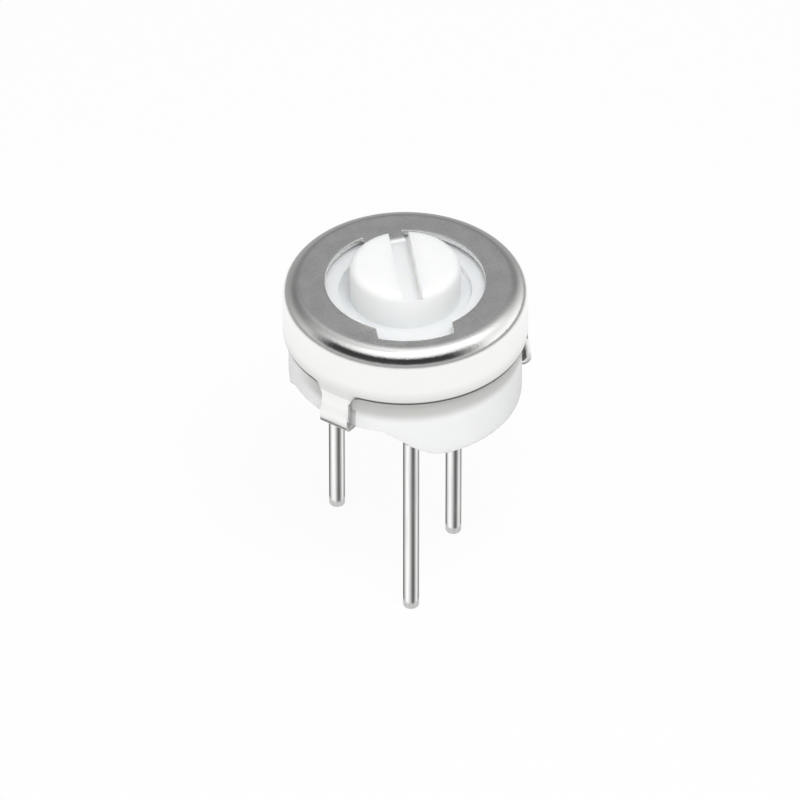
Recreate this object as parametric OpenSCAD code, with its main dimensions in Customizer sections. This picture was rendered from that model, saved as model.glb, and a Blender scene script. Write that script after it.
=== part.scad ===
// Round single-turn trimmer potentiometer: a crimped metal can over a white moulded base,
// a slotted rotor with a multi-wire wiper, a printed ceramic disc and three round leads.
// Millimetres. The origin is on the rotor's axis in the seating plane of the two feet,
// +Z points out through the slotted rotor and lead 2 lies on the +X side.

/* [Can] */
// Outside diameter of the metal can
can_d = 7.00; // [6.90:0.02:7.10]
// Height of the can's flat top above the seating plane
can_top_z = 3.84; // [3.80:0.02:3.94]
// Depth of the can from its flat top to the lower edge of its skirt
can_depth = 1.76; // [1.70:0.02:1.82]
// Thickness of the sheet that the can is drawn from
sheet_t = 0.15; // [0.14:0.01:0.17]
// Outer radius of the rounded edge between top and skirt
can_edge_r = 0.50; // [0.40:0.05:0.60]
// Diameter of the round opening over the rotor
hole_d = 4.58; // [4.50:0.02:4.64]
// Width of the straight-sided notch in the opening's rim
notch_w = 2.15; // [1.80:0.05:2.40]
// Distance of the notch's round bottom from the axis
notch_r = 2.74; // [2.66:0.02:2.78]
// Direction of the notch around the axis, in degrees
notch_angle = -108; // [-120:2:-96]

/* [Stop tab] */
// Width of the stop tab that reaches into the opening
stop_w = 1.15; // [1.00:0.05:1.30]
// Distance of the stop tab's bent lip from the axis
stop_r = 1.66; // [1.64:0.01:1.69]
// Inner radius of the bend between the stop tab and its lip
stop_bend_r = 0.15; // [0.08:0.01:0.18]
// Length of the bent lip below the sheet's underside
stop_drop = 0.23; // [0.18:0.01:0.25]
// Direction of the stop tab around the axis, in degrees
stop_angle = 82; // [76:2:88]

/* [Crimp tabs] */
// Width of one crimp tab
tab_w = 1.00; // [0.80:0.05:1.10]
// Direction of the first crimp tab around the axis, in degrees
tab_angle = -150; // [-154:2:-146]
// Turn from the first crimp tab to the second; the third lies halfway round the rest, in degrees
tab_spread = 133; // [130:1:138]
// How far a crimp tab stands out of the skirt
tab_bulge = 0.08; // [0.04:0.01:0.12]
// Length of the lip that is folded under the base
tab_lip = 0.42; // [0.30:0.02:0.50]
// Inner radius of the fold at the tab's tip
tab_fold_r = 0.12; // [0.08:0.01:0.16]
// Radius of the fillets where a tab leaves the skirt
tab_fillet_r = 0.30; // [0.20:0.05:0.40]

/* [Base] */
// Radial clearance between the base and the inside of the can
base_fit = 0.015; // [0.010:0.005:0.030]
// Height of the base's rim above the lower edge of the skirt
rim_rise = 0.52; // [0.44:0.02:0.54]
// Wall around the recess for the ceramic disc
rim_wall = 0.18; // [0.16:0.01:0.20]
// Depth of the recess for the ceramic disc below the rim
recess_depth = 0.38; // [0.30:0.02:0.44]
// Height of the channel between the two feet
relief_h = 0.92; // [0.84:0.02:1.00]
// Width of the channel's flat roof
relief_flat_w = 2.90; // [2.70:0.10:3.00]
// Width of the channel where its ramps reach the seating plane
relief_foot_w = 5.90; // [5.70:0.05:6.00]
// Direction of the channel around the axis, in degrees
relief_angle = 25; // [20:1:30]
// Radius of the round lower edge of the feet
foot_edge_r = 0.12; // [0.06:0.02:0.16]
// Clearance between a crimp tab and its pocket in the base
pocket_fit = 0.08; // [0.04:0.02:0.12]
// Length by which a crimp tab's pocket runs on towards the channel
pocket_run = 1.30; // [1.10:0.05:1.50]
// Depth of the shallow recess behind each crimp tab
pocket_depth = 0.12; // [0.08:0.02:0.14]

/* [Ceramic disc] */
// Thickness of the ceramic disc
disc_t = 0.50; // [0.44:0.02:0.52]
// Radial clearance of the disc in its recess
disc_fit = 0.03; // [0.02:0.01:0.05]
// Thickness of the adhesive film under the disc
adhesive_t = 0.03; // [0.02:0.01:0.05]
// Thickness of the printed track and conductors
print_t = 0.03; // [0.02:0.01:0.04]
// Middle radius of the resistive track
track_r = 2.12; // [2.10:0.01:2.14]
// Width of the resistive track
track_w = 0.35; // [0.30:0.01:0.36]
// Angle that the resistive track covers, in degrees
track_sweep = 256; // [250:2:260]
// Angle that each end conductor adds to the track, in degrees
end_sweep = 20; // [16:1:24]
// Radius of the round collector conductor
collector_r = 1.00; // [0.96:0.01:1.04]
// Width of the conductor between the collector and lead 2
collector_link_w = 0.50; // [0.40:0.05:0.60]

/* [Leads] */
// Diameter of the leads below the seating plane
lead_d = 0.46; // [0.44:0.01:0.50]
// Diameter of a lead just below its head: inside the base it tapers, so that it seats tightly
lead_top_d = 0.42; // [0.40:0.01:0.44]
// Grid spacing: the end leads lie two spacings apart and lead 2 one spacing off their line
lead_pitch = 2.54; // [2.50:0.01:2.56]
// Distance of the end leads' line from the axis
lead_row_x = 1.00; // [0.96:0.01:1.04]
// Length of the leads below the seating plane
lead_len = 5.90; // [3:0.1:12]
// Chamfer at the tips of the leads
lead_chamfer = 0.05; // [0.03:0.01:0.08]
// Radial clearance of a lead in the holes of base and disc
lead_fit = 0.02; // [0.01:0.01:0.04]
// Diameter of the flattened head of a lead
head_d = 0.58; // [0.56:0.01:0.60]
// Thickness of the flattened head of a lead
head_t = 0.08; // [0.06:0.01:0.10]
// Diameter of the solder joint over a lead's head
solder_d = 0.68; // [0.66:0.01:0.70]
// Height of the solder joint above the printed conductor
solder_h = 0.14; // [0.13:0.01:0.16]

/* [Rotor] */
// Diameter of the round boss that carries the slot
boss_d = 3.16; // [3.08:0.02:3.20]
// Height of the boss above the can's flat top
boss_rise = 0.66; // [0.60:0.02:0.72]
// Radius of the boss's round upper edge
boss_edge_r = 0.26; // [0.15:0.01:0.30]
// Width of the adjustment slot
slot_w = 0.58; // [0.50:0.02:0.66]
// Depth of the adjustment slot
slot_depth = 0.55; // [0.45:0.01:0.65]
// Depth of the slot where the ramp at its front end reaches the boss's flank
slot_end_depth = 0.14; // [0.10:0.01:0.20]
// Slope of the ramp at the slot's front end, in degrees
slot_ramp = 38; // [34:1:46]
// Direction of the slot around the axis, in degrees
slot_angle = -107; // [-115:1:-100]
// Depth of the flange's upper face below the can's flat top
ring_drop = 0.41; // [0.38:0.01:0.44]
// Thickness of the rotor's flange
flange_t = 0.30; // [0.28:0.01:0.32]
// Height of the collar inside the seal ring above the flange's upper face
collar_rise = 0.12; // [0.08:0.01:0.15]
// Radial running clearance between the flange and the inside of the can
flange_fit = 0.08; // [0.06:0.01:0.10]
// Chamfer on the flange's edges
flange_chamfer = 0.06; // [0.04:0.01:0.08]
// Outer diameter of the groove in which the stop lip runs
groove_d = 3.80; // [3.76:0.02:3.86]
// Depth of that groove below the flange's upper face
groove_depth = 0.07; // [0.06:0.01:0.10]
// Clearance between the stop lug and the sheet above it
lug_clear = 0.07; // [0.05:0.01:0.10]
// Turn of the rotor from stop to stop, in degrees
travel = 270; // [250:5:280]
// Turn that is left between the lug and the stop tab at either end, in degrees
stop_margin = 2; // [1:0.5:3]

/* [Seal] */
// Cross-section diameter of the seal ring
seal_d = 0.30; // [0.28:0.01:0.31]
// Clearance between the seal ring and its groove in the rotor
seal_fit = 0.02; // [0.01:0.01:0.03]
// Distance of the seal ring behind the notch's bottom
seal_margin = 0.07; // [0.04:0.01:0.08]

/* [Wiper] */
// Thickness of the wiper's carrier plate
carrier_t = 0.08; // [0.06:0.01:0.09]
// Radius of the carrier plate's round part
carrier_r = 1.25; // [1.20:0.05:1.35]
// Width of the arm and of the bar that hold the wires
carrier_bar_w = 0.34; // [0.30:0.02:0.38]
// Radius of the post that holds the carrier plate
post_r = 0.28; // [0.24:0.01:0.30]
// Clearance between the post and the hole in the plate
post_fit = 0.02; // [0.01:0.01:0.03]
// Radius of the post's staked head
stake_r = 0.38; // [0.36:0.01:0.40]
// Thickness of the staked head
stake_t = 0.07; // [0.05:0.01:0.08]
// Number of wires in each brush
wire_count = 5; // [3:1:5]
// Diameter of one brush wire
wire_d = 0.045; // [0.040:0.001:0.048]
// Distance between neighbouring brush wires
wire_pitch = 0.055; // [0.052:0.001:0.058]
// Length of a brush wire from its root to its contact point
wire_len = 0.60; // [0.50:0.02:0.64]
// Gap between the wires and the printed conductors
wire_gap = 0.015; // [0.010:0.001:0.020]

/* [Hidden] */
$fn = 96;

// Small overlap that keeps cuts clean
eps = 0.01;

// Radii of the can and of what fits in it
can_r = can_d / 2;
can_in_r = can_r - sheet_t;
hole_r = hole_d / 2;
base_r = can_in_r - base_fit;
flange_r = can_in_r - flange_fit;
recess_r = base_r - rim_wall;
disc_r = recess_r - disc_fit;

// Heights, from the seating plane upwards
skirt_z = can_top_z - can_depth;
rim_z = skirt_z + rim_rise;
recess_z = rim_z - recess_depth;
disc_z = recess_z + adhesive_t;
print_z = disc_z + disc_t;
contact_z = print_z + print_t;
under_sheet_z = can_top_z - sheet_t;
ring_z = can_top_z - ring_drop;
flange_z = ring_z - flange_t;
carrier_z = flange_z - carrier_t;
groove_z = ring_z - groove_depth;
collar_z = ring_z + collar_rise;
boss_z = can_top_z + boss_rise;

// Places of the three leads in the plan view
lead_places = [[-lead_row_x, lead_pitch], [lead_pitch - lead_row_x, 0], [-lead_row_x, -lead_pitch]];

// Angles of the end leads, and half of what the stop tab and the lug take from the turn
lead_polar = atan2(lead_pitch, -lead_row_x);
lead_polar_r = norm(lead_places[0]);
stop_half = asin(stop_w / 2 / stop_r);
lug_half = 180 - travel / 2 - stop_margin - stop_half;

// As built the lug lies beside the stop tab, and half a turn's travel away is the track's middle
lug_angle = stop_angle - stop_half - stop_margin - lug_half;
wiper_angle = travel / 2;

// Radii of the rotor's steps and of the seal ring; the collar reaches out to the notch's bottom
boss_r = boss_d / 2;
groove_r = groove_d / 2;
collar_r = notch_r;
seal_r = notch_r + seal_margin + seal_d / 2;

// Directions of the crimp tabs around the axis
tab_angles = [tab_angle, tab_angle + tab_spread, tab_angle + tab_spread + (360 - tab_spread) / 2];

steel = "#b9babd";
white_body = "#f2f2f0";
white_rotor = "#f4f6f7";

// Points of an arc around c from angle a0 to angle a1
function arc(c, r, a0, a1, n = 12) =
    [for (i = [0:n]) c + r * [cos(a0 + (a1 - a0) * i / n), sin(a0 + (a1 - a0) * i / n)]];

// Flat ring sector of height h between two radii and two angles, standing on z = 0
module sector(r0, r1, a0, a1, h) {
    rotate([0, 0, a0])
        rotate_extrude(angle = a1 - a0)
            translate([r0, 0])
                square([r1 - r0, h]);
}

// Tapered upper part of a lead, from just below the seating plane up to top_z, widened by grow
module wire(top_z, grow = 0) {
    translate([0, 0, -eps])
        cylinder(d1 = lead_d + 2 * grow, d2 = lead_top_d + 2 * grow, h = top_z + eps);
}

// Section of the drawn can before it is trimmed, in radius and height
module can_section() {
    edge_c = [can_r - can_edge_r, can_top_z - can_edge_r];
    polygon(concat(
        [[0, can_top_z]],
        arc(edge_c, can_edge_r, 90, 0),
        [[can_r, skirt_z - tab_fillet_r], [can_in_r, skirt_z - tab_fillet_r]],
        arc(edge_c, can_edge_r - sheet_t, 0, 90),
        [[0, under_sheet_z]]));
}

// Round opening with its notch, in the plan view
module opening_outline() {
    circle(r = hole_r);
    intersection() {
        circle(r = notch_r);
        rotate([0, 0, notch_angle])
            translate([0, -notch_w / 2])
                square([can_r, notch_w]);
    }
}

// Strip that reaches from the opening's rim towards the axis and ends in a bent lip
module stop_tab() {
    bend_out_r = stop_bend_r + sheet_t;
    bend_c = [stop_r + bend_out_r, can_top_z - bend_out_r];
    lip_z = under_sheet_z - stop_drop;
    rotate([0, 0, stop_angle])
        translate([0, stop_w / 2, 0])
            rotate([90, 0, 0])
                linear_extrude(stop_w)
                    polygon(concat(
                        [[hole_r + sheet_t, can_top_z]],
                        arc(bend_c, bend_out_r, 90, 180),
                        [[stop_r, lip_z], [stop_r + sheet_t, lip_z]],
                        arc(bend_c, stop_bend_r, 180, 90),
                        [[hole_r + sheet_t, under_sheet_z]]));
}

// Middle line of a crimp tab seen from the side: it bulges out of the skirt,
// runs down beside the base and is folded inwards under the channel's roof height
tab_mid_r = can_r - sheet_t / 2;
fold_mid_r = tab_fold_r + sheet_t / 2;
fold_c = [tab_mid_r + tab_bulge - fold_mid_r, relief_h + tab_fold_r];
bulge_z = (skirt_z + fold_c[1]) / 2;
function tab_side(offset_t, n = 8) = concat(
    [for (i = [0:n])
        [tab_mid_r + offset_t + tab_bulge * (1 - cos(180 * i / n)) / 2,
            skirt_z + (bulge_z - skirt_z) * i / n]],
    arc(fold_c, fold_mid_r + offset_t, 0, -90),
    [[fold_c[0] - tab_lip, fold_c[1] - fold_mid_r - offset_t]]);

// Folded part of one crimp tab along the +X direction, with its root in the skirt's wall
module crimp_tab() {
    outer = tab_side(sheet_t / 2);
    inner = tab_side(-sheet_t / 2);
    translate([0, tab_w / 2, 0])
        rotate([90, 0, 0])
            linear_extrude(tab_w)
                polygon(concat(
                    [[tab_mid_r, skirt_z + tab_fillet_r / 2]],
                    [for (i = [1:len(outer) - 1]) outer[i]],
                    [for (i = [len(inner) - 1:-1:1]) inner[i]]));
}

// What is trimmed off below the skirt's lower edge: all but the roots of the crimp tabs,
// whose sides run into the edge in fillets
module skirt_trim() {
    fillet_y = tab_w / 2 + tab_fillet_r - eps;
    fillet_z = skirt_z - tab_fillet_r + eps;
    low_z = skirt_z - tab_fillet_r - eps;
    difference() {
        translate([0, 0, low_z])
            cylinder(r = can_r + eps, h = skirt_z - low_z);
        at_tabs()
            rotate([90, 0, 90])
                linear_extrude(can_r + 2 * eps)
                    difference() {
                        translate([-fillet_y, low_z - eps])
                            square([2 * fillet_y, skirt_z - low_z + 3 * eps]);
                        for (side = [-1, 1])
                            translate([side * fillet_y, fillet_z])
                                circle(r = tab_fillet_r);
                    }
    }
}

// Repeats what follows at each crimp tab; with to_channel the tab's +Y side is the side
// that lies nearer to the channel between the feet
module at_tabs(to_channel = false) {
    for (angle = tab_angles) {
        flip = to_channel && sin(relief_angle - angle) < 0 ? 1 : 0;
        rotate([0, 0, angle])
            mirror([0, flip, 0])
                children();
    }
}

module metal_cap() {
    color(steel) {
        difference() {
            rotate_extrude()
                can_section();
            translate([0, 0, under_sheet_z - can_edge_r])
                linear_extrude(can_edge_r + sheet_t + eps)
                    opening_outline();
            skirt_trim();
        }
        // The outer end of the stop tab keeps to the round rim
        intersection() {
            stop_tab();
            cylinder(r = hole_r + sheet_t, h = can_top_z + eps);
        }
        at_tabs()
            crimp_tab();
    }
}

// Channel between the feet: a flat roof whose two ramps follow half a cosine wave
module channel() {
    flat = relief_flat_w / 2;
    foot = relief_foot_w / 2;
    steps = 14;
    ramp = [for (i = [0:steps])
        [flat + (foot - flat) * i / steps, relief_h * (1 + cos(180 * i / steps)) / 2]];
    rotate([0, 0, relief_angle])
        translate([-can_r, 0, 0])
            rotate([90, 0, 90])
                linear_extrude(can_d)
                    polygon(concat(
                        [for (i = [steps:-1:0]) [-ramp[i][0], ramp[i][1]]],
                        ramp,
                        [[foot, -eps], [-foot, -eps]]));
}

// Pocket for one crimp tab: open below the channel's roof height, where it runs on into the
// channel, and shallow beside the tab
module tab_pocket() {
    pocket_w = tab_w + 2 * pocket_fit;
    lip_in_r = fold_c[0] - tab_lip - pocket_fit;
    translate([lip_in_r, -pocket_w / 2, -eps])
        cube([can_r, pocket_w + pocket_run, relief_h + eps]);
    translate([base_r - pocket_depth, -pocket_w / 2, -eps])
        cube([can_r, pocket_w, bulge_z]);
}

module base() {
    color(white_body)
        difference() {
            rotate_extrude()
                polygon(concat(
                    [[0, 0]],
                    arc([base_r - foot_edge_r, foot_edge_r], foot_edge_r, -90, 0, 6),
                    [[base_r, rim_z], [recess_r, rim_z], [recess_r, recess_z], [0, recess_z]]));
            channel();
            at_tabs(to_channel = true)
                tab_pocket();
            for (p = lead_places)
                translate([p[0], p[1], 0])
                    wire(rim_z, lead_fit);
        }
}

module disc_adhesive() {
    color("#c9a35a")
        difference() {
            translate([0, 0, recess_z])
                cylinder(r = disc_r, h = adhesive_t);
            for (p = lead_places)
                translate([p[0], p[1], 0])
                    wire(rim_z, lead_fit);
        }
}

module ceramic_disc() {
    color("#e9e6dc")
        difference() {
            translate([0, 0, disc_z])
                cylinder(r = disc_r, h = disc_t);
            for (p = lead_places)
                translate([p[0], p[1], 0])
                    wire(print_z + eps, lead_fit);
        }
}

module resistive_track() {
    color("#2b2b2e")
        translate([0, 0, print_z])
            sector(track_r - track_w / 2, track_r + track_w / 2, -track_sweep / 2, track_sweep / 2, print_t);
}

module collector_conductor() {
    color("#c9c4b4")
        difference() {
            translate([0, 0, print_z])
                union() {
                    cylinder(r = collector_r, h = print_t);
                    translate([0, -collector_link_w / 2, 0])
                        cube([lead_places[1][0], collector_link_w, print_t]);
                    translate([lead_places[1][0], 0, 0])
                        cylinder(d = solder_d, h = print_t);
                }
            translate([lead_places[1][0], 0, 0])
                wire(can_top_z, lead_fit);
        }
}

// Conductor from an end lead to the end of the track; side is 1 for lead 1 and -1 for lead 3
module end_conductor(side) {
    place = side > 0 ? lead_places[0] : lead_places[2];
    inner = track_r - track_w / 2;
    outer = track_r + track_w / 2;
    a0 = track_sweep / 2;
    a1 = a0 + end_sweep;
    color("#c9c4b4")
        difference() {
            translate([0, 0, print_z])
                mirror([0, side > 0 ? 0 : 1, 0])
                    union() {
                        sector(inner, outer, a0, a1, print_t);
                        sector(outer, lead_polar_r + solder_d / 2 - disc_fit, a0, a1, print_t);
                        sector(lead_polar_r - solder_d / 2, lead_polar_r + solder_d / 2 - disc_fit,
                            lead_polar, a0 + eps, print_t);
                        translate([lead_places[0][0], lead_places[0][1], 0])
                            cylinder(d = solder_d, h = print_t);
                    }
            translate([place[0], place[1], 0])
                wire(can_top_z, lead_fit);
        }
}

module end_conductor_1() {
    end_conductor(1);
}

module end_conductor_3() {
    end_conductor(-1);
}

// Lead with a chamfered tip, a straight lower part, a tapered upper part and a flattened head
module lead(place) {
    color(steel)
        translate([place[0], place[1], 0]) {
            translate([0, 0, -lead_len])
                cylinder(d1 = lead_d - 2 * lead_chamfer, d2 = lead_d, h = lead_chamfer);
            translate([0, 0, lead_chamfer - lead_len])
                cylinder(d = lead_d, h = lead_len - lead_chamfer);
            wire(contact_z + head_t);
            translate([0, 0, contact_z])
                cylinder(d = head_d, h = head_t);
        }
}

module lead_1() {
    lead(lead_places[0]);
}

module lead_2() {
    lead(lead_places[1]);
}

module lead_3() {
    lead(lead_places[2]);
}

// Solder that covers a lead's head and meets the printed conductor around it
module solder_joint(place) {
    color("#8f9296")
        translate([place[0], place[1], 0])
            difference() {
                translate([0, 0, contact_z])
                    cylinder(d1 = solder_d, d2 = head_d, h = solder_h);
                translate([0, 0, contact_z - eps])
                    cylinder(d = head_d, h = head_t + eps);
            }
}

module solder_joint_1() {
    solder_joint(lead_places[0]);
}

module solder_joint_2() {
    solder_joint(lead_places[1]);
}

module solder_joint_3() {
    solder_joint(lead_places[2]);
}

// Rubber ring between the rotor's flange and the underside of the can
module seal_ring() {
    color("#7a2f26")
        rotate_extrude()
            translate([seal_r, under_sheet_z - seal_d / 2])
                circle(d = seal_d, $fn = 32);
}

// Turned shape of the rotor, in radius and height
module rotor_section() {
    edge_c = [boss_r - boss_edge_r, boss_z - boss_edge_r];
    difference() {
        polygon(concat(
            [[0, boss_z]],
            arc(edge_c, boss_edge_r, 90, 0),
            [[boss_r, groove_z], [groove_r, groove_z], [groove_r, collar_z]],
            [[collar_r, collar_z], [collar_r, ring_z]],
            [[flange_r - flange_chamfer, ring_z], [flange_r, ring_z - flange_chamfer]],
            [[flange_r, flange_z + flange_chamfer], [flange_r - flange_chamfer, flange_z]],
            [[post_r, flange_z], [post_r, carrier_z], [stake_r, carrier_z]],
            [[stake_r, carrier_z - stake_t], [0, carrier_z - stake_t]]));
        translate([seal_r, under_sheet_z - seal_d / 2])
            circle(d = seal_d + 2 * seal_fit, $fn = 32);
    }
}

// Side view of the adjustment slot: open at the back, with a ramp up to the boss's edge in front
module slot_side() {
    floor_z = boss_z - slot_depth;
    ramp_start = boss_r - (slot_depth - slot_end_depth) / tan(slot_ramp);
    ramp_end = ramp_start + (slot_depth + eps) / tan(slot_ramp);
    polygon([[-can_r, floor_z], [ramp_start, floor_z], [ramp_end, boss_z + eps], [-can_r, boss_z + eps]]);
}

module rotor() {
    color(white_rotor)
        difference() {
            union() {
                rotate_extrude()
                    rotor_section();
                // Stop lug that bridges the groove
                translate([0, 0, groove_z - eps])
                    sector(boss_r - boss_edge_r, groove_r, lug_angle - lug_half, lug_angle + lug_half,
                        under_sheet_z - lug_clear - groove_z + eps);
            }
            rotate([0, 0, slot_angle])
                translate([0, slot_w / 2, 0])
                    rotate([90, 0, 0])
                        linear_extrude(slot_w)
                            slot_side();
        }
}

// Width that one brush takes, and the middle radius of the collector brush
brush_w = (wire_count - 1) * wire_pitch + wire_d;
collector_brush_r = (stake_r + collector_r) / 2;
bar_y = wire_len - carrier_bar_w / 2;

module wiper_carrier() {
    color("#c8a860")
        rotate([0, 0, wiper_angle])
            translate([0, 0, carrier_z])
                difference() {
                    union() {
                        cylinder(r = carrier_r, h = carrier_t);
                        translate([0, bar_y, 0])
                            cube([track_r + brush_w / 2 + wire_d, carrier_bar_w, carrier_t]);
                    }
                    translate([0, 0, -eps])
                        cylinder(r = post_r + post_fit, h = carrier_t + 2 * eps);
                }
}

// One brush of parallel round wires that slope from the carrier plate to the print
module brush(mid_x) {
    root = [0, wire_len + wire_d, carrier_z - wire_d / 2];
    tip = [0, 0, contact_z + wire_gap + wire_d / 2];
    fall = root - tip;
    slope = atan2(fall[2], fall[1]);
    color("#d8d2c0")
        rotate([0, 0, wiper_angle])
            for (i = [0:wire_count - 1])
                translate([mid_x + (i - (wire_count - 1) / 2) * wire_pitch, 0, 0]) {
                    translate(tip)
                        rotate([slope - 90, 0, 0])
                            cylinder(d = wire_d, h = norm(fall), $fn = 16);
                    translate(tip)
                        sphere(d = wire_d, $fn = 16);
                    translate(root)
                        rotate([-90, 0, 0])
                            cylinder(d = wire_d, h = wire_len / 4, $fn = 16);
                    translate(root)
                        sphere(d = wire_d, $fn = 16);
                }
}

module track_brush() {
    brush(track_r);
}

module collector_brush() {
    brush(-collector_brush_r);
}

metal_cap();
base();
disc_adhesive();
ceramic_disc();
resistive_track();
collector_conductor();
end_conductor_1();
end_conductor_3();
lead_1();
lead_2();
lead_3();
solder_joint_1();
solder_joint_2();
solder_joint_3();
seal_ring();
rotor();
wiper_carrier();
track_brush();
collector_brush();
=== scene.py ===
"""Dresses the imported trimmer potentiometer: metal can, slotted white rotor, white base and three leads."""

import logging
import math
from dataclasses import dataclass
from enum import Enum
from typing import Callable

import bmesh
import bpy
from mathutils import Matrix, Vector


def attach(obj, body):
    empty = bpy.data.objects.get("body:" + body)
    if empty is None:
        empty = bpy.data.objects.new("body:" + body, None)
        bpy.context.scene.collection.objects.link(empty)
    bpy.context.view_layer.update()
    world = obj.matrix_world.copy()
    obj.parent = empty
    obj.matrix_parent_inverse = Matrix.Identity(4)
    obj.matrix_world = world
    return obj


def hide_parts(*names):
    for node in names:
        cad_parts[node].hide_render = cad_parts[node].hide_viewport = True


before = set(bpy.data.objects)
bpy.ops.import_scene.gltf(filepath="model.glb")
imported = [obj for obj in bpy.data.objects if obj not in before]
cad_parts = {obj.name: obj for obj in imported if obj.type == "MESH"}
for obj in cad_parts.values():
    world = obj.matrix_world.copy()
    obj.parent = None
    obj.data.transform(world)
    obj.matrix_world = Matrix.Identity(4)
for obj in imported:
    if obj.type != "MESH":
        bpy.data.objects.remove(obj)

MM = 0.001
IMAGE_PIXELS = 800
WHITE = (1.0, 1.0, 1.0, 1.0)
# Metres within which a point counts as on an edge or a plane, and within which points are merged
NEAR = 1e-7
MERGE = 1e-8
# Rounding of the can's and the base's sharp edges
EDGE_WIDTH = 0.03 * MM
EDGE_SEGMENTS = 3
EDGE_ANGLE = 50.0

log = logging.getLogger("trimmer")

Place = tuple[float, float]
Profile = list[Place]
Colour = tuple[float, float, float]
Socket = bpy.types.NodeSocket
Row = Callable[[float, Vector], Vector]


class Body(str, Enum):
    """The two bodies of the part."""

    HOUSING = "housing"
    ADJUSTER = "adjuster"


class Reach(Enum):
    """How a ramp goes from its first value to its second."""

    LINEAR = "LINEAR"
    SMOOTH = "SMOOTHSTEP"


class Glow(Enum):
    """The shaders that give light of their own."""

    SURFACE = "ShaderNodeEmission"
    SKY = "ShaderNodeBackground"


# Mesh tools


def arc(centre: Place, radius: float, start: float, end: float, steps: int) -> Profile:
    """Points along an arc in the plane of radius and height.

    Args:
        centre: Centre of the arc.
        radius: Radius of the arc.
        start: First angle in degrees, 0 pointing outwards and 90 up.
        end: Last angle in degrees.
        steps: Number of chords.

    Returns:
        The points from the first to the last angle.
    """
    angles = [math.radians(start + (end - start) * i / steps) for i in range(steps + 1)]
    return [(centre[0] + radius * math.cos(a), centre[1] + radius * math.sin(a)) for a in angles]


def stretch(start: Place, end: Place, steps: int) -> Profile:
    """Points that divide a straight line evenly, both ends included."""
    (r, z), (end_r, end_z) = start, end
    return [(r + (end_r - r) * i / steps, z + (end_z - z) * i / steps) for i in range(steps + 1)]


def smooth_step(value: float, low: float, high: float) -> float:
    """0 below low, 1 above high and a soft step between them."""
    t = min(max((value - low) / (high - low), 0.0), 1.0)
    return t * t * (3 - 2 * t)


def wrapped(angle: float) -> float:
    """The angle brought between -pi and pi."""
    return math.atan2(math.sin(angle), math.cos(angle))


def polar(point: Vector) -> Place:
    """Distance from the Z axis and angle about it."""
    return math.hypot(point.x, point.y), math.atan2(point.y, point.x)


def widen(vert: bmesh.types.BMVert, scale: float) -> None:
    """Brings a point to scale times its distance from the Z axis."""
    vert.co.x *= scale
    vert.co.y *= scale


def spun(profile: Profile, columns: int, at: Place = (0.0, 0.0)) -> bmesh.types.BMesh:
    """Turns a profile once round an upright axis.

    Args:
        profile: Points as radius and height, along the surface.
        columns: Number of columns of the full turn.
        at: Plan place of the axis.

    Returns:
        A bmesh whose columns start at the +X direction.
    """
    bm = bmesh.new()
    verts = [bm.verts.new((r, 0.0, z)) for r, z in profile]
    edges = [bm.edges.new(pair) for pair in zip(verts, verts[1:])]
    bmesh.ops.spin(
        bm,
        geom=verts + edges,
        cent=(0, 0, 0),
        axis=(0, 0, 1),
        angle=2 * math.pi,
        steps=columns,
        use_merge=True,
    )
    bmesh.ops.remove_doubles(bm, verts=bm.verts, dist=MERGE)
    bmesh.ops.translate(bm, verts=bm.verts, vec=(*at, 0.0))
    return bm


def add_object(name: str, bm: bmesh.types.BMesh) -> bpy.types.Object:
    """Adds an object to the scene.

    Args:
        name: Name of the object and its mesh.
        bm: Its shape in the part's own frame, which is freed.

    Returns:
        The new object.
    """
    mesh = bpy.data.meshes.new(name)
    bm.to_mesh(mesh)
    bm.free()
    obj = bpy.data.objects.new(name, mesh)
    bpy.context.scene.collection.objects.link(obj)
    return obj


def soften_edges(obj: bpy.types.Object) -> bpy.types.Modifier:
    """Rounds the sharp edges of a piece.

    Args:
        obj: The piece.

    Returns:
        Its new Bevel modifier.
    """
    bevel = obj.modifiers.new("rounded edges", "BEVEL")
    bevel.width = EDGE_WIDTH
    bevel.segments = EDGE_SEGMENTS
    bevel.limit_method = "ANGLE"
    bevel.angle_limit = math.radians(EDGE_ANGLE)
    return bevel


@dataclass
class Piece:
    """One finished piece and the CAD node that it stands for."""

    name: str
    body: Body
    slot: str
    material: bpy.types.Material
    replaces: str

    def build(self, bm: bmesh.types.BMesh, sharp_angle: float = 40.0) -> bpy.types.Object:
        """Turns a bmesh into this piece, smooth apart from its sharp edges.

        Args:
            bm: The finished shape in the part's own frame, which is freed.
            sharp_angle: Edges that turn by more than this many degrees stay sharp.

        Returns:
            The new object, riding on its body.
        """
        bmesh.ops.recalc_face_normals(bm, faces=bm.faces)
        obj = add_object(self.name, bm)
        obj.data.shade_smooth()
        obj.data.set_sharp_from_angle(angle=math.radians(sharp_angle))
        obj.data.materials.append(self.material)
        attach(obj, self.body.value)
        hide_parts(self.replaces)
        log.info("piece %s: %d faces", self.name, len(obj.data.polygons))
        return obj


# Material tools


@dataclass(frozen=True)
class Ramp:
    """Goes from to_low at low to to_high at high, and stays level beyond both; low may be the larger."""

    low: float
    high: float
    to_low: float = 0.0
    to_high: float = 1.0
    reach: Reach = Reach.SMOOTH


@dataclass(frozen=True)
class Grain:
    """Scale and detail of a noise pattern."""

    scale: float
    detail: float = 3.0


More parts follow.
